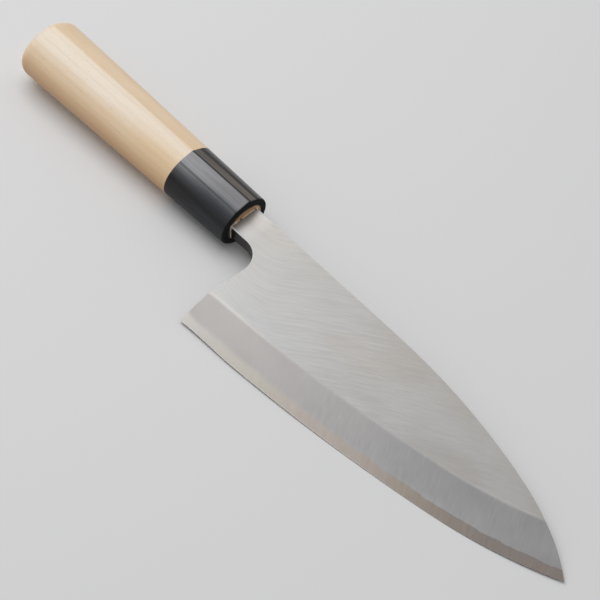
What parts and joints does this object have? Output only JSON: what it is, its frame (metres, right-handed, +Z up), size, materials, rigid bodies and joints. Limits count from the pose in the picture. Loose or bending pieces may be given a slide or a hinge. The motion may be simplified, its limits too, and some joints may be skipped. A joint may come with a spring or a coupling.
{
  "type": "deba knife",
  "caption": "Single-bevel deba knife: thick wedge-shaped fish blade with hard edge steel under soft iron, horn ferrule and D-shaped wooden grip.",
  "frame": {"origin": "on the table, under the middle of the lying knife's length and width", "axes": "+X along the handle towards the tip, +Y across the blade towards the spine, +Z up from the table; the knife lies on its flat back's side with the bevelled face up"},
  "size_m": [0.3002, 0.06, 0.0246],
  "materials": {
    "soft_iron": "satin, finely scratched on the flat, misty on the bevel",
    "hard_steel": "polished, a little brighter than the iron",
    "ho_wood": "bare, smoothly sanded, fine straight grain",
    "horn": "polished dark horn with greyish streaks",
    "resin": "dull set resin"
  },
  "bodies": {
    "root": {"blade_cladding": "soft_iron", "edge_steel": "hard_steel", "grip": "ho_wood", "ferrule": "horn", "tang_bedding": "resin"}
  },
  "joints": []
}
